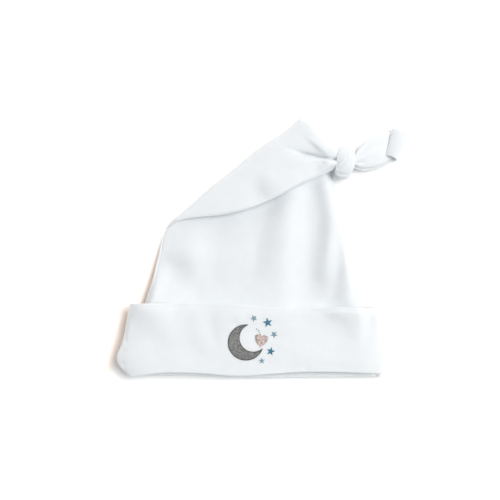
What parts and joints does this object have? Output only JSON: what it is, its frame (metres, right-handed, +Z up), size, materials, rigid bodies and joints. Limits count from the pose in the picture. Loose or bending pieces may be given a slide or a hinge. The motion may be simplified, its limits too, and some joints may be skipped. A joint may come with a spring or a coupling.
{
  "type": "knotted baby hat",
  "caption": "Soft cotton newborn hat lying flat, with a turned-up cuff, its tip folded over the front, tied in a knot and ending in a short tail.",
  "frame": {"origin": "middle of the hat's footprint, on the surface that it lies on", "axes": "+Z up from the surface, +Y from the brim towards the fold, +X towards the knot"},
  "size_m": [0.1906, 0.1697, 0.0185],
  "materials": {
    "crown_jersey": "soft matt white cotton interlock",
    "cuff_jersey": "soft matt white cotton interlock, doubled",
    "knot_jersey": "soft matt white cotton interlock, gathered",
    "tail_jersey": "soft matt white cotton interlock",
    "grey_thread": "glossy grey embroidery thread, of the moon",
    "dark_thread": "glossy black embroidery thread, of the outline and the hanging line",
    "pink_thread": "glossy pale pink embroidery thread, of the heart",
    "blue_thread": "glossy teal blue embroidery thread, of two stars",
    "pale_blue_thread": "glossy light blue embroidery thread, of three stars"
  },
  "bodies": {
    "root": {"crown": "crown_jersey", "cuff": "cuff_jersey", "knot": "knot_jersey", "tail": "tail_jersey"}
  },
  "joints": []
}
